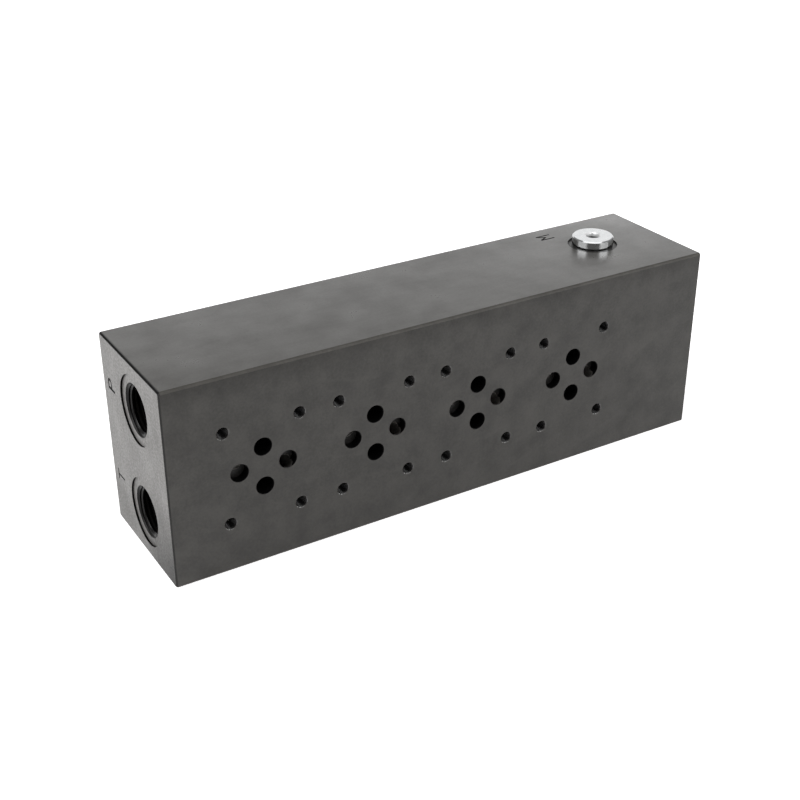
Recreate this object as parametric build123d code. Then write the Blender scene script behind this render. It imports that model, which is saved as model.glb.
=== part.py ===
from build123d import *
import os

# Bar manifold (subplate) for four size 6 directional valves. All sizes are in millimetres.
# The origin is the middle of the underside: +X runs along the bar towards the gauge port,
# +Z is up, and the valves bolt to the face that looks along -Y.

# Bar
station_count = 4
station_pitch = 50.0  # one valve to the next
left_margin = 40.0  # left end to the middle of the first valve
right_margin = 70.0  # middle of the last valve to the right end
bar_depth = 62.0  # valve face to back face
bar_height = 86.0
corner_round = 1.2  # radius of the drawn bar's long edges
end_chamfer = 0.6  # around both sawn and milled ends

# Valve port pattern to ISO 4401-03, measured from the middle of each valve
port_row_height = 43.3  # ports P and T above the underside
port_side = 10.4  # P and T to either side of the middle
port_a_drop = 8.8  # A below the row
port_b_rise = 8.7  # B above the row
port_diameter = 7.5
port_pocket_depth = 4.0  # flat pocket of P and T, where the slanted bore starts
slant_diameter = 5.5  # slanted bore from the pocket to its gallery

# Holes for the valve bolts, M5
low_bolt_drop = 21.5  # lower pair below the row
low_bolt_side = 15.5
high_bolt_rise = 19.0  # upper pair above the row
high_bolt_side = 16.25
valve_bolt_thread = 5.0
valve_bolt_depth = 12.0

# Galleries along the bar
gallery_diameter = 14.0
gallery_inset = 28.0  # gallery axis behind the valve face
pressure_height = 66.0  # P gallery above the underside
tank_height = 20.0  # T gallery above the underside

# Ports P and T in both ends, G 1/2
end_port_thread = 20.955
end_port_depth = 14.5  # below the seat
end_port_mouth = 22.0
end_port_seat = 29.0  # spot face that takes the fitting's seal
end_port_seat_depth = 0.8

# Ports A and B in the back, G 3/8
work_port_reach = 13.0  # A below and B above the row of ports P and T
work_port_thread = 16.662
work_port_depth = 12.0
work_port_bore = 14.95  # bore under the thread
work_port_bore_depth = 16.0
work_port_mouth = 17.5
work_bore_overlap = 1.0  # how far the valve's own bore runs into that bore

# Gauge port M in the top, G 1/4
gauge_port_offset = 35.5  # beyond the middle of the last valve
gauge_port_inset = 34.7  # behind the valve face
gauge_port_thread = 13.157
gauge_port_depth = 12.5  # below the seat
gauge_port_bore = 11.445  # bore under the thread, down to the P gallery
gauge_port_mouth = 14.2
gauge_port_seat = 22.5
gauge_port_seat_depth = 0.6
gauge_bore_overlap = 3.0  # how far that bore runs below the top of the gallery

# Fixing holes in the underside, M8
fixing_end_margin = 30.0  # from either end
fixing_face_margin = 13.0  # from the valve face and from the back face
fixing_thread = 8.0
fixing_depth = 12.0

# Screw plug in the gauge port
flange_diameter = 18.7
flange_height = 4.7
flange_edge = 0.5
shank_length = 12.0
shank_clearance = 0.08  # plug thread inside the port's thread, radial
shank_tip = 1.0  # chamfer at the end of the thread
relief_diameter = 11.2  # thread relief under the flange
relief_length = 2.2
socket_size = 6.0  # hexagon across flats
socket_depth = 6.5
socket_mouth = 7.3  # countersink around the hexagon

# Captive seal ring of the plug
seal_bore_clearance = 0.22  # ring around the thread, radial
seal_width = 1.25
seal_height = 1.5
seal_clearance = 0.05  # ring inside the wall of its groove, radial

overrun = 1.0  # cutters start this far outside a face

# Places worked out from the sizes above
bar_length = left_margin + (station_count - 1) * station_pitch + right_margin
left_end = -bar_length / 2
right_end = bar_length / 2
valve_face = -bar_depth / 2
back_face = bar_depth / 2
gallery_y = valve_face + gallery_inset
stations = [left_end + left_margin + i * station_pitch for i in range(station_count)]
gauge_x = stations[-1] + gauge_port_offset
gauge_y = valve_face + gauge_port_inset
gauge_seat_height = bar_height - gauge_port_seat_depth
seal_inner_radius = gauge_port_thread / 2 + seal_bore_clearance
seal_outer_radius = seal_inner_radius + seal_width


def turned(outline):
    # A solid of revolution about Z from (radius, height) points.
    line = Polyline(*[(radius, 0, height) for radius, height in outline], close=True)
    return revolve(make_face(line), Axis.Z)


def port(thread, depth, mouth):
    # A threaded port cut down from Z = 0, with a chamfered mouth. Its wall is at the major diameter
    # of the thread.
    lead = (mouth - thread) / 2
    return turned([
        (0, overrun),
        (mouth / 2, overrun),
        (mouth / 2, 0),
        (thread / 2, -lead),
        (thread / 2, -depth),
        (0, -depth),
    ])


def spot_faced(hole, seat, seat_depth):
    # The hole starts on the floor of a shallow round seat, which is cut down from Z = 0.
    face = Cylinder(seat / 2, seat_depth + overrun, align=(Align.CENTER, Align.CENTER, Align.MIN))
    return Pos(0, 0, -seat_depth) * (hole + face)


def bore(diameter, depth):
    # A plain hole cut down from Z = 0.
    return Cylinder(diameter / 2, depth, align=(Align.CENTER, Align.CENTER, Align.MAX))


def in_valve_face(x, height):
    # A plane on the valve face, its normal pointing out of the bar.
    return Plane(origin=(x, valve_face, height), x_dir=(1, 0, 0), z_dir=(0, -1, 0))


def valve_bolt_hole(x, height):
    return in_valve_face(x, height) * bore(valve_bolt_thread, valve_bolt_depth)


def gallery_feed(x, gallery_height):
    # Port P or T: a flat pocket in the valve face, and a slanted bore from its mouth to the gallery.
    pocket = bore(port_diameter, port_pocket_depth)
    mouth = Vector(x, valve_face, port_row_height)
    slant = Vector(x, gallery_y, gallery_height) - mouth
    feed = Plane(origin=mouth, z_dir=-slant) * bore(slant_diameter, slant.length)
    return [in_valve_face(x, port_row_height) * pocket, feed]


def work_line(x, height, port_height):
    # Port A or B: a straight bore from the valve face into a threaded port in the back.
    reach = bar_depth - work_port_bore_depth + work_bore_overlap
    back = port(work_port_thread, work_port_depth, work_port_mouth)
    back += bore(work_port_bore, work_port_bore_depth)
    behind = Plane(origin=(x, back_face, port_height), x_dir=(-1, 0, 0), z_dir=(0, 1, 0))
    return [in_valve_face(x, height) * bore(port_diameter, reach), behind * back]


def station(x):
    # All that one valve needs.
    cuts = gallery_feed(x - port_side, pressure_height) + gallery_feed(x + port_side, tank_height)
    cuts += work_line(x, port_row_height - port_a_drop, port_row_height - work_port_reach)
    cuts += work_line(x, port_row_height + port_b_rise, port_row_height + work_port_reach)
    for side in (-1, 1):
        cuts.append(valve_bolt_hole(x + side * low_bolt_side, port_row_height - low_bolt_drop))
        cuts.append(valve_bolt_hole(x + side * high_bolt_side, port_row_height + high_bolt_rise))
    return cuts


def gallery(height):
    # A gallery drilled from end to end, with a threaded port in each end.
    line = Cylinder(gallery_diameter / 2, bar_length, rotation=(0, 90, 0))
    mouth = spot_faced(port(end_port_thread, end_port_depth, end_port_mouth), end_port_seat,
                       end_port_seat_depth)
    cuts = [Pos(0, gallery_y, height) * line]
    for x, outward in ((left_end, -1), (right_end, 1)):
        end = Plane(origin=(x, gallery_y, height), x_dir=(0, outward, 0), z_dir=(outward, 0, 0))
        cuts.append(end * mouth)
    return cuts


def gauge_port():
    # The bore under the thread goes on until it breaks into the P gallery.
    reach = gauge_seat_height - pressure_height - gallery_diameter / 2 + gauge_bore_overlap
    hole = port(gauge_port_thread, gauge_port_depth, gauge_port_mouth) + bore(gauge_port_bore, reach)
    return Pos(gauge_x, gauge_y, bar_height) * spot_faced(hole, gauge_port_seat, gauge_port_seat_depth)


def fixing_holes():
    hole = bore(fixing_thread, fixing_depth)
    holes = []
    for x in (left_end + fixing_end_margin, right_end - fixing_end_margin):
        for y in (valve_face + fixing_face_margin, back_face - fixing_face_margin):
            holes.append(Plane(origin=(x, y, 0), x_dir=(1, 0, 0), z_dir=(0, 0, -1)) * hole)
    return holes


def manifold_block():
    bar = Box(bar_length, bar_depth, bar_height, align=(Align.CENTER, Align.CENTER, Align.MIN))
    bar = fillet(bar.edges().filter_by(Axis.X), corner_round)
    ends = bar.faces().sort_by(Axis.X)
    bar = chamfer(ends[0].edges() + ends[-1].edges(), end_chamfer)
    cuts = gallery(pressure_height) + gallery(tank_height) + [gauge_port()] + fixing_holes()
    for x in stations:
        cuts += station(x)
    return bar - cuts


def gauge_port_plug():
    # A turned plug that seats on the spot face at Z = 0, with a groove under its flange for the ring.
    shank = gauge_port_thread / 2 - shank_clearance
    groove = seal_outer_radius + seal_clearance
    body = turned([
        (0, -shank_length),
        (shank - shank_tip, -shank_length),
        (shank, shank_tip - shank_length),
        (shank, -relief_length),
        (relief_diameter / 2, -relief_length),
        (relief_diameter / 2, seal_height),
        (groove, seal_height),
        (groove, 0),
        (flange_diameter / 2, 0),
        (flange_diameter / 2, flange_height - flange_edge),
        (flange_diameter / 2 - flange_edge, flange_height),
        (0, flange_height),
    ])
    socket = extrude(RegularPolygon(socket_size / 2, 6, major_radius=False), -socket_depth)
    lead = turned([(0, 0), (socket_mouth / 2, 0), (0, -socket_mouth / 2)])
    top = Pos(0, 0, flange_height)
    return Pos(gauge_x, gauge_y, gauge_seat_height) * (body - top * socket - top * lead)


def plug_seal_ring():
    ring = turned([
        (seal_inner_radius, 0),
        (seal_outer_radius, 0),
        (seal_outer_radius, seal_height),
        (seal_inner_radius, seal_height),
    ])
    return Pos(gauge_x, gauge_y, gauge_seat_height) * ring


os.makedirs("parts", exist_ok=True)
for name, piece in (
    ("manifold_block", manifold_block()),
    ("gauge_port_plug", gauge_port_plug()),
    ("plug_seal_ring", plug_seal_ring()),
):
    export_step(piece, f"parts/{name}.step")
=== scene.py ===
import bpy
import math
from mathutils import Matrix, Vector


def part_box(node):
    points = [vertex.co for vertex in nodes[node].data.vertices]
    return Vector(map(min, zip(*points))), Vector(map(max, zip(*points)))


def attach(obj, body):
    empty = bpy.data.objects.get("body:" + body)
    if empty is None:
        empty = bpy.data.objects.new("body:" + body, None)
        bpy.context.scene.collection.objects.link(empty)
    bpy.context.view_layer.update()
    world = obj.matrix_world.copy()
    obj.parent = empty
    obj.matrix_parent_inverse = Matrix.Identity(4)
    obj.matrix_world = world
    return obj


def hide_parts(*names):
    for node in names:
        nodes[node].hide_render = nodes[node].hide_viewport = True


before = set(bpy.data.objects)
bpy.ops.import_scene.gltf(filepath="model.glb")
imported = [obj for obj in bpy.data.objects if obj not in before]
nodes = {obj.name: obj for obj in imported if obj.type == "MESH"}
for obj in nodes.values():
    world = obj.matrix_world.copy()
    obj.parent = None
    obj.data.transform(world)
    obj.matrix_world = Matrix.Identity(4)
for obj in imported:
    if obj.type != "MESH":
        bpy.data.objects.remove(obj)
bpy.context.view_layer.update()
mm = 0.001
print("frame loaded:", ", ".join(sorted(nodes)))


# small helpers

welds = {"solid": 0.002, "letter": 0.001}  # mm, points closer than this are one
smoothAngle = 25  # degrees, sharper edges stay sharp


def hexColour(text):  # sRGB hex to the linear colour a shader takes
    channels = [int(text[i:i + 2], 16) / 255 for i in (1, 3, 5)]
    return [c / 12.92 if c <= 0.04045 else ((c + 0.055) / 1.055) ** 2.4 for c in channels] + [1]


def addNode(tree, kind, settings={}, links={}):  # settings are sockets or properties, links join sockets
    node = tree.nodes.new("ShaderNode" + kind)
    for key, value in settings.items():
        if isinstance(key, int) or key in node.inputs:
            node.inputs[key].default_value = value
        else:
            setattr(node, key, value)
    for key, output in links.items():
        tree.links.new(output, node.inputs[key])
    return node


def ramp(start, end, first, last):  # settings of a smooth ramp along an axis, its places in mm
    return {"interpolation_type": "SMOOTHSTEP", "From Min": start * mm, "From Max": end * mm,
            "To Min": first, "To Max": last}


def newMaterial(name, settings):  # a material with one principled shader, set on its own sockets
    material = bpy.data.materials.new(name)
    material.use_nodes = True
    shader = material.node_tree.nodes["Principled BSDF"]
    for key, value in settings.items():
        shader.inputs[key].default_value = value
    return material, material.node_tree, shader


def selectOnly(*pieces):  # the first one becomes the active piece
    bpy.ops.object.select_all(action="DESELECT")
    for piece in pieces:
        piece.select_set(True)
    bpy.context.view_layer.objects.active = pieces[0]


def editMesh(piece, *steps):  # runs edit-mode steps on one piece
    selectOnly(piece)
    bpy.ops.object.mode_set(mode="EDIT")
    for step in steps:
        step()
    bpy.ops.object.mode_set(mode="OBJECT")


def applyModifier(piece, kind, settings):
    selectOnly(piece)
    modifier = piece.modifiers.new(kind.title(), kind)
    for key, value in settings.items():
        setattr(modifier, key, value)
    bpy.ops.object.modifier_apply(modifier=modifier.name)


def cutAway(piece, cutter, settings={}):
    applyModifier(piece, "BOOLEAN", {
        "operation": "DIFFERENCE", "object": cutter, "solver": "EXACT", **settings})
    bpy.data.objects.remove(cutter)


def applyPlace(piece):
    selectOnly(piece)
    bpy.ops.object.transform_apply(location=True, rotation=True, scale=True)


def smoothFaces(piece):
    selectOnly(piece)
    bpy.ops.object.shade_smooth_by_angle(angle=math.radians(smoothAngle))


def mergedCopy(node, name):  # a copy of a solid with its doubles merged and its shading made anew
    piece = bpy.data.objects.new(name, nodes[node].data.copy())
    bpy.context.scene.collection.objects.link(piece)
    editMesh(piece, lambda: bpy.ops.mesh.select_all(action="SELECT"),
             lambda: bpy.ops.mesh.remove_doubles(threshold=welds["solid"] * mm),
             lambda: bpy.ops.mesh.customdata_custom_splitnormals_clear())
    piece.data.materials.clear()
    return piece


# sizes that several pieces share, in mm, and the places that follow from them and from the solids

sizes = {
    "stationMargin": 40,  # left end to the middle of the first valve
    "stationPitch": 50,
    "valves": 4,
    "row": 43.3,  # ports P and T above the underside
    "ports": ((-10.4, 0), (10.4, 0), (0, -8.8), (0, 8.7)),  # P, T, A and B from the middle of a valve
    "bolts": ((-15.5, -21.5), (15.5, -21.5), (-16.25, 19), (16.25, 19)),
    "galleryInset": 28,  # behind the valve face
    "galleryHeights": (66, 20),  # P and T
    "workReach": 13,  # ports A and B below and above the row
    "fixingInset": (30, 13),  # from an end, and from the valve face or the back
    "endSeat": 0.8,  # depth of the spot faces in the ends
    "endMouth": 1.3,  # depth at which the chamfer in them ends
    "gaugeSeat": 0.6,  # depth of the spot face under the plug
    "gaugeMouth": 7.1,  # radius of the port in it
    "pocket": 4,  # depth of the pockets of P and T
    "slantRadius": 2.75,  # bores from the pockets to the galleries
    "chamfer": 0.6,  # around both ends
    "round": 1.2,  # along the long edges
}
blockLow, blockHigh = [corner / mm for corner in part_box("manifold_block")]
plugLow, plugHigh = [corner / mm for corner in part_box("gauge_port_plug")]
plugAxis = (plugLow + plugHigh) / 2
stations = [blockLow.x + sizes["stationMargin"] + sizes["stationPitch"] * i for i in range(sizes["valves"])]
galleryY = blockLow.y + sizes["galleryInset"]
fixings = [
    (x, y) for x in (blockLow.x + sizes["fixingInset"][0], blockHigh.x - sizes["fixingInset"][0])
    for y in (blockLow.y + sizes["fixingInset"][1], blockHigh.y - sizes["fixingInset"][1])]


# block finish: steel, phosphated dark, so satin grey with faint clouds, smudges and grain
# their sizes and grainDepth are in mm, and mix says how much clouds, smudges and grain count
# endBand is where it starts and is full, in mm before an end, and what is left of the colour there
# topBand is how far it reaches down from the top edge, in mm, and what is left there

edgeMarks = {"clouds": 10, "smudges": (3, 3, 3), "grain": 0.8, "grainDepth": 0.01, "mix": (0.5, 0.5, 0.5)}
holeMarks = {"clouds": 6, "smudges": (2, 2, 2), "grain": 0.8, "grainDepth": 0.01, "mix": (0.5, 0.5, 0.5)}
cutMarks = {"clouds": 8, "smudges": (2, 2, 2), "grain": 0.8, "grainDepth": 0.006, "mix": (0.5, 0.5, 0.5)}
blockLook = {
    "side": {  # drawn faces of the bar: satin, with soft clouds that run across the light
        "name": "phosphated_drawn_steel",
        "colours": ("#34322f", "#51504d"), "roughness": (0.24, 0.38), "specular": (0.46, 0.63), "ior": 1.6,
        "clouds": 17, "smudges": (12, 3, 12), "grain": 1.1, "grainDepth": 0.006, "mix": (0.6, 0.15, 0.3),
        "endBand": (1.4, 0.7, 0.25)},
    "valveFace": {  # ground face that the valves sit on: darker, with faint sweeping lines
        "name": "phosphated_ground_steel",
        "colours": ("#181613", "#2e2b26"), "roughness": (0.3, 0.42), "specular": (0.35, 0.49), "ior": 1.6,
        "clouds": 11, "smudges": (3.5, 3, 5), "grain": 1.1, "grainDepth": 0.01, "mix": (0.6, 0.2, 0.45),
        "arcs": 0.2, "topBand": (11, 0.82)},
    "roundEdge": {  # rounded long edges: rubbed duller by the rolls, a soft line between two faces
        "name": "phosphated_rolled_edge",
        "colours": ("#3e3c39", "#4c4a46"), "roughness": (0.5, 0.6), "specular": (0.22, 0.32), "ior": 1.5,
        "clouds": 11, "smudges": (3, 3, 3), "grain": 1.1, "grainDepth": 0.008, "mix": (0.5, 0.4, 0.4),
        "endBand": (1.0, 0.6, 0.3)},
    "end": {  # milled ends: duller and lighter, with a coarser grain and painted shade at the foot
        "name": "phosphated_milled_steel",
        "colours": ("#575553", "#807e7c"), "roughness": (0.34, 0.48), "specular": (0.36, 0.51), "ior": 1.6,
        "clouds": 14, "smudges": (3, 1.4, 9), "grain": 1.0, "grainDepth": 0.04, "mix": (0.5, 0.3, 1.3),
        "paintedFootShade": {"strength": 0.8, "height": 42, "reach": 51, "least": 0.1}},  # mm up and behind the face
    "edge": {  # thin chamfers: nearly black and dull, a black outline around an end
        "name": "phosphated_steel_edge",
        "colours": ("#080808", "#100f0f"), "roughness": (0.5, 0.6), "specular": (0.1, 0.15), "ior": 1.4,
        **edgeMarks},
    "upright": {  # the chamfer beside the valve face: worn nearly as pale as the face
        "name": "phosphated_worn_edge",
        "colours": ("#161514", "#201f1d"), "roughness": (0.45, 0.55), "specular": (0.25, 0.35), "ior": 1.5,
        **edgeMarks},
    "mouth": {  # chamfered mouths of the end ports: a dark grey ring, painted shade at the mouth of each port
        "name": "phosphated_port_mouth",
        "colours": ("#0e0d0c", "#181716"), "roughness": (0.4, 0.5), "specular": (0.12, 0.2), "ior": 1.5,
        **holeMarks},
    "bore": {  # walls inside the holes: nearly black, painted shade in the holes
        "name": "phosphated_bored_steel",
        "colours": ("#050505", "#0a0a0a"), "roughness": (0.3, 0.45), "specular": (0.06, 0.12), "ior": 1.35,
        **holeMarks},
    "thread": {  # cut threads: black, painted shade in the holes, with a thin glint along each crest
        "name": "phosphated_thread_steel",
        "colours": ("#090808", "#100f0e"), "roughness": (0.2, 0.3), "specular": (0.16, 0.24), "ior": 1.5,
        **holeMarks},
    "engraved": {  # floor and walls of the letters: matt and black, so that they read
        "name": "phosphated_engraved_steel",
        "colours": ("#0a0a0a", "#131212"), "roughness": (0.5, 0.6), "specular": (0.15, 0.25), "ior": 1.4,
        **holeMarks},
    "rim": {  # countersunk edge of a bolt hole: cut smooth, so it catches the light
        "name": "phosphated_countersunk_steel",
        "colours": ("#3a3836", "#4a4845"), "roughness": (0.1, 0.16), "specular": (0.48, 0.64), "ior": 1.7,
        **cutMarks},
    "seat": {  # spot face under the plug: dark, painted shade under the flange
        "name": "phosphated_spot_faced_steel",
        "colours": ("#201f1e", "#2e2d2b"), "roughness": (0.3, 0.4), "specular": (0.2, 0.3), "ior": 1.5,
        **cutMarks},
    "pocket": {  # flat floor of the pockets of P and T: milled, a grey spot deep in the hole
        "name": "phosphated_pocket_floor",
        "colours": ("#1c1b1a", "#2a2928"), "roughness": (0.35, 0.45), "specular": (0.2, 0.3), "ior": 1.5,
        **cutMarks},
    "drilled": {  # slanted bores: smooth and oily, painted lighter than the coat, a painted highlight deep in the ports P and T
        "name": "phosphated_drilled_steel",
        "colours": ("#5a5754", "#7a7773"), "roughness": (0.25, 0.35), "specular": (0.7, 0.9), "ior": 1.8,
        **cutMarks},
}
arcLook = {  # faint sweeping marks of the grinder on the valve face
    "middle": (-20, 250),  # x and z of the far point that they turn about, mm
    "pitch": 11,  # mm
    "width": 0.12,  # share of the pitch
    "patches": 28,  # mm, they come and go in patches of this size
    "patchEdge": (0.5, 0.6),  # noise at which a patch starts, and at which it is full
}
bumpStrength = 0.6
noiseGain = 4  # noise keeps mostly within a quarter of its middle, so this makes it run from -1 to 1
waveUnit = math.pi / 10  # length of one wave at scale 1


def sweepingArcs(tree, place, strength):  # thin lighter lines on wide rings
    shifted = addNode(tree, "Mapping", {
        "Location": (-arcLook["middle"][0] * mm, 0, -arcLook["middle"][1] * mm)}, {"Vector": place})
    rings = addNode(tree, "TexWave", {
        "wave_type": "RINGS", "rings_direction": "Y", "Scale": waveUnit / (arcLook["pitch"] * mm),
        "Distortion": 3, "Detail": 2, "Detail Scale": 0.4}, {"Vector": shifted.outputs[0]})
    lines = addNode(tree, "MapRange", {"From Min": 1 - arcLook["width"], "To Max": strength}, {
        "Value": rings.outputs["Fac"]})
    noise = addNode(tree, "TexNoise", {"Scale": 1 / (arcLook["patches"] * mm), "Detail": 2}, {
        "Vector": place})
    patches = addNode(tree, "MapRange", {
        "From Min": arcLook["patchEdge"][0], "From Max": arcLook["patchEdge"][1]}, {
        "Value": noise.outputs["Fac"]})
    return addNode(tree, "Math", {"operation": "MULTIPLY"}, {
        0: lines.outputs[0], 1: patches.outputs[0]}).outputs[0]


def coatTone(tree, place, look):  # 0 where the coat is darkest and 1 where it is lightest, and the grain
    stretched = addNode(tree, "Mapping", {"Scale": [1 / (size * mm) for size in look["smudges"]]}, {
        "Vector": place})
    clouds = addNode(tree, "TexNoise", {
        "Scale": 1 / (look["clouds"] * mm), "Detail": 3, "Roughness": 0.5}, {"Vector": place})
    smudges = addNode(tree, "TexNoise", {"Scale": 1, "Detail": 3}, {"Vector": stretched.outputs[0]})
    grain = addNode(tree, "TexNoise", {  # a crystal is a few hundredths of a mm, drawn coarser
        "Scale": 1 / (look["grain"] * mm), "Detail": 3, "Roughness": 0.7}, {"Vector": place})
    cloudShare, smudgeShare, grainShare = look["mix"]
    level = addNode(tree, "Math", {  # each share counts about its middle, so the sum is centred on 0
        "operation": "MULTIPLY_ADD", 1: noiseGain * cloudShare, 2: -noiseGain / 2 * sum(look["mix"])}, {
        0: clouds.outputs["Fac"]})
    for texture, share in ((smudges, smudgeShare), (grain, grainShare)):
        level = addNode(tree, "Math", {"operation": "MULTIPLY_ADD", 1: noiseGain * share}, {
            0: texture.outputs["Fac"], 2: level.outputs[0]})
    if "arcs" in look:
        level = addNode(tree, "Math", {"operation": "ADD"}, {
            0: level.outputs[0], 1: sweepingArcs(tree, place, look["arcs"])})
    curved = addNode(tree, "Math", {"operation": "TANH"}, {0: level.outputs[0]})  # no hard ends
    tone = addNode(tree, "Math", {"operation": "MULTIPLY_ADD", 1: 0.5, 2: 0.5}, {0: curved.outputs[0]})
    return tone.outputs[0], grain.outputs["Fac"]


def darkBandsAndPaintedShade(tree, place, look):  # what is left of the colour where it is darkened: bands before the ends and along the top edge of the valve face, and painted shade at the foot of an end
    axes = addNode(tree, "SeparateXYZ", {}, {0: place}).outputs
    if "endBand" in look:  # just before the chamfer of an end
        along = addNode(tree, "Math", {"operation": "ABSOLUTE"}, {0: axes["X"]})
        start, full, left = look["endBand"]
        band = ramp(blockHigh.x - start, blockHigh.x - full, 1, left)
        return addNode(tree, "MapRange", band, {"Value": along.outputs[0]}).outputs[0]
    if "topBand" in look:  # towards the top edge
        depth, left = look["topBand"]
        band = ramp(blockHigh.z - depth, blockHigh.z, 1, left)
        return addNode(tree, "MapRange", band, {"Value": axes["Z"]}).outputs[0]
    paintedFootShade = look["paintedFootShade"]  # painted shade, darker towards the foot and towards the valve face
    low = addNode(tree, "MapRange", ramp(0, paintedFootShade["height"], 1, 0), {"Value": axes["Z"]})
    nearFace = ramp(blockLow.y + paintedFootShade["reach"], blockLow.y, paintedFootShade["least"], 1)
    beside = addNode(tree, "MapRange", nearFace, {"Value": axes["Y"]})
    both = addNode(tree, "Math", {"operation": "MULTIPLY"}, {0: low.outputs[0], 1: beside.outputs[0]})
    return addNode(tree, "Math", {"operation": "MULTIPLY_ADD", 1: -paintedFootShade["strength"], 2: 1}, {
        0: both.outputs[0]}).outputs[0]


def phosphatedSteel(look):
    material, tree, shader = newMaterial(look["name"], {"IOR": look["ior"]})
    place = addNode(tree, "TexCoord").outputs["Object"]
    tone, grain = coatTone(tree, place, look)
    dark, light = [hexColour(text) for text in look["colours"]]
    colour = addNode(tree, "Mix", {"data_type": "RGBA", 6: dark, 7: light}, {0: tone}).outputs[2]
    sheen = addNode(tree, "MapRange", {"To Min": look["specular"][0], "To Max": look["specular"][1]}, {
        "Value": tone}).outputs[0]
    if look.keys() & {"endBand", "topBand", "paintedFootShade"}:
        shade = darkBandsAndPaintedShade(tree, place, look)
        colour = addNode(tree, "VectorMath", {"operation": "SCALE"}, {0: colour, 3: shade}).outputs[0]
        sheen = addNode(tree, "Math", {"operation": "MULTIPLY"}, {0: sheen, 1: shade}).outputs[0]
    roughness = addNode(tree, "MapRange", {  # the lighter the smoother
        "To Min": look["roughness"][1], "To Max": look["roughness"][0]}, {"Value": tone})
    bump = addNode(tree, "Bump", {"Strength": bumpStrength, "Distance": look["grainDepth"] * mm}, {
        "Height": grain})
    tree.links.new(colour, shader.inputs["Base Color"])
    tree.links.new(roughness.outputs[0], shader.inputs["Roughness"])
    tree.links.new(sheen, shader.inputs["Specular IOR Level"])
    tree.links.new(bump.outputs[0], shader.inputs["Normal"])
    return material


slots = {kind: number for number, kind in enumerate(blockLook)}
steel = {kind: phosphatedSteel(look) for kind, look in blockLook.items()}
print("block materials made:", len(steel))


# engraved port letters: P and T at the end ports, M at the gauge port

letterLook = {  # mm; each letter has its middle, the way to its top, the way out of the face and its height
    "depth": 0.3,
    "width": 5.0,
    "P": ((blockLow.x, 21.8, 66.0), (0, 1, 0), (-1, 0, 0), 7.0),
    "T": ((blockLow.x, 22.4, 23.6), (0, 1, 0), (-1, 0, 0), 7.0),
    "M": ((81.7, 21.1, blockHigh.z), (-1, 0, 0), (0, 0, 1), 7.5),
}


def letterCutter(letter):
    middle, up, outward = [Vector(v) for v in letterLook[letter][:3]]
    bpy.ops.object.select_all(action="DESELECT")
    bpy.ops.object.text_add()
    bpy.context.object.data.body = letter
    bpy.context.object.data.extrude = letterLook["depth"] * mm
    bpy.ops.object.convert(target="MESH")
    cutter = bpy.context.object
    low = [min(v.co[i] for v in cutter.data.vertices) for i in (0, 1)]
    high = [max(v.co[i] for v in cutter.data.vertices) for i in (0, 1)]
    wide = letterLook["width"] * mm / (high[0] - low[0])
    tall = letterLook[letter][3] * mm / (high[1] - low[1])
    centre = Matrix.Translation((-(low[0] + high[0]) / 2, -(low[1] + high[1]) / 2, 0))
    turn = Matrix((up.cross(outward), up, outward)).transposed().to_4x4()
    cutter.matrix_world = (Matrix.Translation(middle * mm) @ turn
                           @ Matrix.Diagonal((wide, tall, 1, 1)) @ centre)
    applyPlace(cutter)
    editMesh(cutter, lambda: bpy.ops.mesh.select_all(action="SELECT"),
             lambda: bpy.ops.mesh.remove_doubles(threshold=welds["letter"] * mm),
             lambda: bpy.ops.mesh.normals_make_consistent(inside=False))
    cutter.data.materials.append(steel["engraved"])
    return cutter


# broken edges of the holes: a cone cuts each mouth

rimLook = {
    "port": (7.85, "bore"),  # mouth in mm, and its finish
    "bolt": (5.45, "rim"),
    "fixing": (8.8, "rim"),
    "above": 0.5,  # mm, the cone starts this far outside the face
    "segments": 42,
}


def rimCutter(kind, mouth, inward):
    above = rimLook["above"]
    mouthSize, finish = rimLook[kind]
    radius = mouthSize / 2 + above
    inward = Vector(inward)
    bpy.ops.object.select_all(action="DESELECT")
    bpy.ops.mesh.primitive_cone_add(
        vertices=rimLook["segments"], radius1=radius * mm, radius2=0, depth=radius * mm,
        location=(Vector(mouth) + inward * (radius / 2 - above)) * mm,
        rotation=inward.to_track_quat("Z", "Y").to_euler())
    cutter = bpy.context.object
    applyPlace(cutter)
    cutter.data.materials.append(steel[finish])
    return cutter


def rimCutters():
    cutters = []
    for x in stations:
        for kind, pattern in (("port", sizes["ports"]), ("bolt", sizes["bolts"])):
            for dx, dz in pattern:
                cutters.append(rimCutter(kind, (x + dx, blockLow.y, sizes["row"] + dz), (0, 1, 0)))
    for x, y in fixings:
        cutters.append(rimCutter("fixing", (x, y, 0), (0, 0, 1)))
    selectOnly(*cutters)
    bpy.ops.object.join()
    return cutters[0]


# the block: a merged copy of the solid, with a finish for each kind of surface, then cut

slants = [  # each from the mouth of a port P or T to its gallery
    (Vector((x + dx, blockLow.y, sizes["row"])), Vector((x + dx, galleryY, height)))
    for x in stations for (dx, dz), height in zip(sizes["ports"], sizes["galleryHeights"])]
near = 0.1  # mm, a face this close to a place lies on it
flat = 0.01  # mm
square = 0.999  # a normal's part along an axis that it follows
sloped = (0.6, 0.8)  # one that it leans from at about 45 degrees
across = 0.01  # and one that it stands across


def gapFromLine(point, start, end):
    along = (end - start).normalized()
    return (point - start - along * (point - start).dot(along)).length


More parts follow.
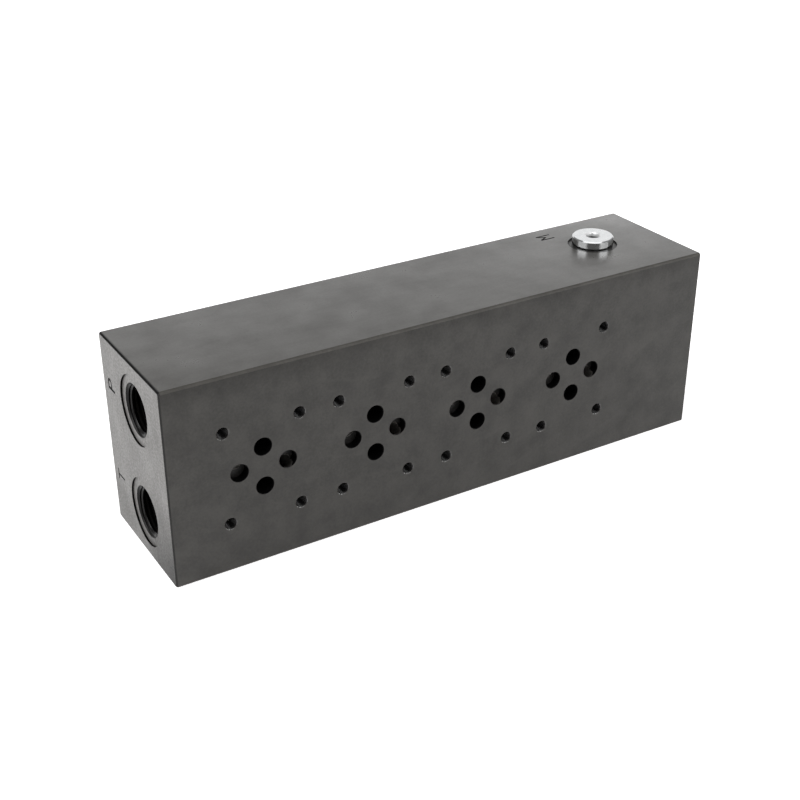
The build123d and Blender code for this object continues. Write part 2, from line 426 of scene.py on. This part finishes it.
def surfaceKind(middle, normal):
    gapX, gapY, gapZ = [min(middle[i] - blockLow[i], blockHigh[i] - middle[i]) for i in range(3)]
    if abs(normal.x) > square and gapX < sizes["endSeat"] + near:
        return "end"
    rim = min(gapY, gapZ) < sizes["round"] + near
    if rim and sloped[0] < abs(normal.x) < sloped[1] and gapX < sizes["chamfer"] + near:
        return "edge" if gapZ < gapY else "upright"
    if abs(normal.x) < across and min(gapY, gapZ) < flat:
        return "valveFace" if normal.y < -sloped[1] else "side"
    if max(gapY, gapZ) < sizes["round"] + near:
        return "roundEdge"
    if (middle.z > plugLow.z and gapZ < sizes["gaugeSeat"] + near
            and (middle - plugAxis).xy.length > sizes["gaugeMouth"] + near):
        return "seat"
    if abs(normal.x) > sloped[0] and gapX < sizes["endMouth"] + near:
        return "mouth"
    if normal.y < -square and abs(middle.y - blockLow.y - sizes["pocket"]) < near:
        return "pocket"
    if any(abs(gapFromLine(middle, *slant) - sizes["slantRadius"]) < near for slant in slants):
        return "drilled"
    return "bore"


def blockBody():
    block = mergedCopy("manifold_block", "machined_block")
    for material in steel.values():
        block.data.materials.append(material)
    for face in block.data.polygons:
        face.material_index = slots[surfaceKind(face.center / mm, face.normal)]
    cutAway(block, rimCutters(), {"material_mode": "TRANSFER"})
    for letter in "MPT":  # after the rims, which would otherwise fail
        cutAway(block, letterCutter(letter), {"material_mode": "TRANSFER"})
    smoothFaces(block)
    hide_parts("manifold_block")
    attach(block, "root")
    print("block cut:", len(block.data.polygons), "faces")


blockBody()


# threads in the ports and bolt holes: a helical ridge stands on the wall of each hole

threadLook = {  # mm, and steps to a turn
    "g12": {"outer": 20.955, "core": 18.631, "pitch": 1.814, "depth": 14.4, "mouth": 22.0, "steps": 48},
    "g38": {"outer": 16.662, "core": 14.95, "pitch": 1.337, "depth": 12.0, "mouth": 17.5, "steps": 40},
    "m5": {"outer": 5.0, "core": 4.2, "pitch": 0.8, "depth": 10.5, "mouth": 5.45, "steps": 24},
    "m8": {"outer": 8.0, "core": 6.8, "pitch": 1.25, "depth": 10.0, "mouth": 8.8, "steps": 32},
    "sunk": 0.02,  # mm the ridge's foot goes into the wall
    "flank": 0.875,  # foot of the ridge, in pitches
    "crest": 0.29,  # crest, as a share of the foot
    "start": 0.4,  # the ridge ends this many pitches outside the mouth
    "above": 2,  # and the cone that trims it there this many
}


def threadMaster(name, size):  # runs down from its mouth at the origin
    pitch = size["pitch"]
    turns = int(size["depth"] / pitch)
    foot = size["outer"] / 2 + threadLook["sunk"]
    crest = size["core"] / 2
    middle = (foot + crest) / 2 * mm
    bpy.ops.object.select_all(action="DESELECT")
    bpy.ops.mesh.primitive_plane_add(size=1)
    ridge = bpy.context.object
    ridge.name = name
    ridge.matrix_world = (Matrix.Translation((middle, 0, (threadLook["start"] - turns) * pitch * mm))
                          @ Matrix.Rotation(math.pi / 2, 4, "X")
                          @ Matrix.Diagonal(((foot - crest) * mm, threadLook["flank"] * pitch * mm, 1, 1)))
    applyPlace(ridge)
    for vertex in ridge.data.vertices:
        vertex.select = vertex.co.x < middle
    for edge in ridge.data.edges:
        edge.select = all(ridge.data.vertices[i].select for i in edge.vertices)
    for face in ridge.data.polygons:
        face.select = False
    editMesh(ridge, lambda: bpy.ops.transform.resize(value=(1, 1, threadLook["crest"])),
             lambda: bpy.ops.mesh.select_all(action="SELECT"),
             lambda: bpy.ops.mesh.delete(type="ONLY_FACE"))
    applyModifier(ridge, "SCREW", {
        "axis": "Z", "angle": 2 * math.pi, "screw_offset": pitch * mm, "iterations": turns,
        "steps": size["steps"], "render_steps": size["steps"], "use_merge_vertices": False,
        "use_smooth_shade": False})
    editMesh(ridge, lambda: bpy.ops.mesh.select_all(action="SELECT"),
             lambda: bpy.ops.mesh.fill_holes(sides=4),
             lambda: bpy.ops.mesh.normals_make_consistent(inside=False))
    above = threadLook["above"] * pitch
    wide = size["mouth"] / 2 + above
    bpy.ops.object.select_all(action="DESELECT")
    bpy.ops.mesh.primitive_cone_add(vertices=2 * size["steps"], radius1=0, radius2=wide * mm,
                                    depth=wide * mm, location=(0, 0, (above - wide / 2) * mm))
    cutter = bpy.context.object
    applyPlace(cutter)
    cutAway(ridge, cutter)
    ridge.data.materials.clear()
    ridge.data.materials.append(steel["thread"])
    print("thread", name, len(ridge.data.polygons), "faces")
    return ridge


def threadSet(name, size, mouths):  # one copy for each (mouth, outward) in mm
    master = threadMaster(name + "_master", size)
    for number, (mouth, outward) in enumerate(mouths, 1):
        copy = bpy.data.objects.new(f"{name}_{number}", master.data.copy())
        bpy.context.scene.collection.objects.link(copy)
        copy.matrix_world = (Matrix.Translation(Vector(mouth) * mm)
                             @ Vector(outward).to_track_quat("Z", "Y").to_matrix().to_4x4())
        applyPlace(copy)
        smoothFaces(copy)
        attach(copy, "root")
    bpy.data.objects.remove(master)


threadSet("end_port_thread", threadLook["g12"], [
    ((side * (blockHigh.x - sizes["endSeat"]), galleryY, z), (side, 0, 0))
    for side in (-1, 1) for z in sizes["galleryHeights"]])
threadSet("work_port_thread", threadLook["g38"], [
    ((x, blockHigh.y, sizes["row"] + side * sizes["workReach"]), (0, 1, 0))
    for x in stations for side in (-1, 1)])
threadSet("valve_bolt_thread", threadLook["m5"], [
    ((x + dx, blockLow.y, sizes["row"] + dz), (0, -1, 0)) for x in stations for dx, dz in sizes["bolts"]])
threadSet("fixing_thread", threadLook["m8"], [((x, y, 0), (0, 0, -1)) for x, y in fixings])
print("threads cut")


# plug: turned steel, bright zinc, so nearly white with fine rings on its top and a satin socket

plugLook = {
    "turned": {  # flange and shank: bright, the softboxes stand in it as bands
        "name": "bright_zinc_plated_steel", "colours": ("#d0d2d4", "#e8e9e9"), "roughness": (0.08, 0.16),
        "metallic": 1},
    "socket": {  # broached hexagon: satin white at its mouth, painted shade darkens it towards its bottom
        "name": "broached_zinc_plated_steel", "colours": ("#f0f1f1", "#fbfcfc"), "roughness": (0.2, 0.3),
        "metallic": 0.4, "dim": (1.3, 2.1, 0.2)},  # painted shade: mm deep where it starts and ends, and what is left
    "ringPitch": 0.5,  # mm, a fine feed mark, drawn coarser to show
    "ringDepth": 0.006,  # mm
    "ringStrength": 0.5,
    "haze": 2.5,  # mm
    "socketRadius": 3.6,  # mm
    "socketDepth": 7,
}


def zincPlatedSteel(look):
    material, tree, shader = newMaterial(look["name"], {"Metallic": look["metallic"]})
    place = addNode(tree, "TexCoord").outputs["Object"]
    centred = addNode(tree, "Mapping", {"Location": (-plugAxis.x * mm, -plugAxis.y * mm, 0)}, {
        "Vector": place})
    rings = addNode(tree, "TexWave", {
        "wave_type": "RINGS", "rings_direction": "Z", "Scale": waveUnit / (plugLook["ringPitch"] * mm),
        "Distortion": 0.6, "Detail": 2, "Detail Scale": 1.5}, {"Vector": centred.outputs[0]})
    haze = addNode(tree, "TexNoise", {"Scale": 1 / (plugLook["haze"] * mm), "Detail": 3}, {
        "Vector": centred.outputs[0]}).outputs["Fac"]
    dark, light = [hexColour(text) for text in look["colours"]]
    colour = addNode(tree, "Mix", {"data_type": "RGBA", 6: dark, 7: light}, {0: haze}).outputs[2]
    if "dim" in look:  # painted shade, darker with depth
        start, full, left = look["dim"]
        height = addNode(tree, "SeparateXYZ", {}, {0: place}).outputs["Z"]
        shade = addNode(tree, "MapRange", ramp(plugHigh.z - start, plugHigh.z - full, 1, left), {
            "Value": height}).outputs[0]
        colour = addNode(tree, "VectorMath", {"operation": "SCALE"}, {0: colour, 3: shade}).outputs[0]
    roughness = addNode(tree, "MapRange", {
        "To Min": look["roughness"][0], "To Max": look["roughness"][1]}, {"Value": haze})
    bump = addNode(tree, "Bump", {
        "Strength": plugLook["ringStrength"], "Distance": plugLook["ringDepth"] * mm}, {
        "Height": rings.outputs["Fac"]})
    tree.links.new(colour, shader.inputs["Base Color"])
    tree.links.new(roughness.outputs[0], shader.inputs["Roughness"])
    tree.links.new(bump.outputs[0], shader.inputs["Normal"])
    return material


def plugBody():
    plug = mergedCopy("gauge_port_plug", "screw_plug")
    for part in ("turned", "socket"):
        plug.data.materials.append(zincPlatedSteel(plugLook[part]))
    for face in plug.data.polygons:
        middle = face.center / mm
        inside = (middle - plugAxis).xy.length < plugLook["socketRadius"]
        face.material_index = int(inside and flat < plugHigh.z - middle.z < plugLook["socketDepth"])
    smoothFaces(plug)
    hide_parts("gauge_port_plug")
    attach(plug, "root")


plugBody()


# seal ring: moulded nitrile rubber, so matt black and faintly uneven

ringLook = {"colours": ("#101010", "#1c1c1b"), "skin": 0.6}  # skin in mm


def mouldedNitrile():
    material, tree, shader = newMaterial("moulded_nitrile_rubber", {"IOR": 1.52, "Roughness": 0.6})
    place = addNode(tree, "TexCoord").outputs["Object"]
    skin = addNode(tree, "TexNoise", {"Scale": 1 / (ringLook["skin"] * mm), "Detail": 2}, {"Vector": place})
    dark, light = [hexColour(text) for text in ringLook["colours"]]
    colour = addNode(tree, "Mix", {"data_type": "RGBA", 6: dark, 7: light}, {0: skin.outputs["Fac"]})
    tree.links.new(colour.outputs[2], shader.inputs["Base Color"])
    return material


ring = nodes["plug_seal_ring"]
ring.data.materials.clear()
ring.data.materials.append(mouldedNitrile())
print("plug and seal ring finished")


# studio: white floor and surround, and five softboxes around the block

studio = {
    "floorSize": 8.0,  # m
    "floorGap": 0.02,  # mm, just clear of the underside
    "floorColours": ("#efefef", "#f4f4f4"),
    "floorMottle": 16.7,  # mm
    "floorGlow": 0.7,  # seen by the camera, so that the floor clips to white
    "floorMirrored": 0.5,  # share of the glow that gloss sees
    "worldFill": 0.2,  # light from all around, not seen itself
    "backdrop": (0.5, 0.866, 0.0),  # the white backdrop stands behind the object, to the right
    "backdropEdge": (0.72, 0.88),  # cosine from its middle where it starts, and where it is full
    "roomLevel": 0.07,  # what gloss sees of the room beside it
    "softboxes": {  # degrees around from +X and up, distance and size in m, brightness
        "left_softbox": (172, 28, 1.25, (1.17, 0.6), 4.1),
        "right_softbox": (301, 28, 0.82, (0.76, 0.4), 3.8),
        "top_softbox": (230, 62, 1.4, (2.6, 1.0), 1.1),
        "low_softbox": (352, 5, 1.25, (0.6, 0.3), 3.2),
        "back_softbox": (42, 8, 1.3, (0.6, 0.3), 1.8),
    },
}


def seenLevel(tree, settings={}, links={}):  # 1 to the camera, to gloss the share given at socket 1, else 0
    path = addNode(tree, "LightPath").outputs
    mirrored = addNode(tree, "Math", {"operation": "MAXIMUM"}, {
        0: path["Is Glossy Ray"], 1: path["Is Transmission Ray"]})
    dimmed = addNode(tree, "Math", {"operation": "MULTIPLY", **settings}, {0: mirrored.outputs[0], **links})
    return addNode(tree, "Math", {"operation": "MAXIMUM"}, {
        0: path["Is Camera Ray"], 1: dimmed.outputs[0]}).outputs[0]


def floorPaper():
    material, tree, shader = newMaterial("white_floor_paper", {
        "Roughness": 0.9, "Emission Color": (1, 1, 1, 1)})
    place = addNode(tree, "TexCoord").outputs["Object"]
    mottle = addNode(tree, "TexNoise", {"Scale": 1 / (studio["floorMottle"] * mm), "Detail": 2}, {
        "Vector": place})
    dark, light = [hexColour(text) for text in studio["floorColours"]]
    colour = addNode(tree, "Mix", {"data_type": "RGBA", 6: dark, 7: light}, {0: mottle.outputs["Fac"]})
    glow = addNode(tree, "Math", {"operation": "MULTIPLY", 1: studio["floorGlow"]}, {
        0: seenLevel(tree, {1: studio["floorMirrored"]})})
    tree.links.new(colour.outputs[2], shader.inputs["Base Color"])
    tree.links.new(glow.outputs[0], shader.inputs["Emission Strength"])
    return material


def whiteSurround():
    world = bpy.data.worlds.new("white_surround")
    world.use_nodes = True
    tree = world.node_tree
    sky = tree.nodes["Background"]
    direction = addNode(tree, "TexCoord").outputs["Generated"]
    facing = addNode(tree, "VectorMath", {"operation": "DOT_PRODUCT", 1: studio["backdrop"]}, {0: direction})
    backdrop = addNode(tree, "MapRange", {
        "interpolation_type": "SMOOTHSTEP", "From Min": studio["backdropEdge"][0],
        "From Max": studio["backdropEdge"][1], "To Min": studio["roomLevel"]}, {
        "Value": facing.outputs["Value"]})
    level = addNode(tree, "MapRange", {"To Min": studio["worldFill"]}, {
        "Value": seenLevel(tree, links={1: backdrop.outputs[0]})})
    tree.links.new(level.outputs[0], sky.inputs["Strength"])
    sky.inputs["Color"].default_value = (1, 1, 1, 1)
    return world


def softbox(name, around, up, distance, size, brightness):  # stands around the plug and faces it
    around, up = math.radians(around), math.radians(up)
    ray = Vector((math.cos(around) * math.cos(up), math.sin(around) * math.cos(up), math.sin(up)))
    bpy.ops.object.light_add(type="AREA", location=plugAxis * mm + ray * distance)
    lamp = bpy.context.object
    lamp.name = name
    lamp.data.shape = "RECTANGLE"
    lamp.data.size, lamp.data.size_y = size
    lamp.data.energy = brightness * math.pi * size[0] * size[1]  # watts for that brightness
    lamp.rotation_euler = ray.to_track_quat("Z", "Y").to_euler()
    lamp.visible_camera = False


bpy.ops.object.select_all(action="DESELECT")
bpy.ops.mesh.primitive_plane_add(size=studio["floorSize"], location=(0, 0, -studio["floorGap"] * mm))
floor = bpy.context.object
floor.name = "studio_floor"
floor.data.materials.append(floorPaper())
bpy.context.scene.world = whiteSurround()
for name, values in studio["softboxes"].items():
    softbox(name, *values)

view = {
    "place": (-0.27135, -0.43264, 0.30515),  # m
    "looksAlong": (0.456876, 0.75522, -0.470007),
    "roll": -0.125,  # degrees about the line of sight
    "lens": 59.107,  # mm
    "sensor": 36,
    "reach": 20,  # m
}
bpy.ops.object.camera_add(location=view["place"])
camera = bpy.context.object
camera.rotation_euler = (Vector(view["looksAlong"]).to_track_quat("-Z", "Y").to_matrix()
                         @ Matrix.Rotation(math.radians(view["roll"]), 3, "Z")).to_euler()
camera.data.sensor_width = view["sensor"]
camera.data.lens = view["lens"]
camera.data.clip_end = view["reach"]
bpy.context.scene.camera = camera
bpy.context.scene.view_settings.view_transform = "Standard"
print("studio set")
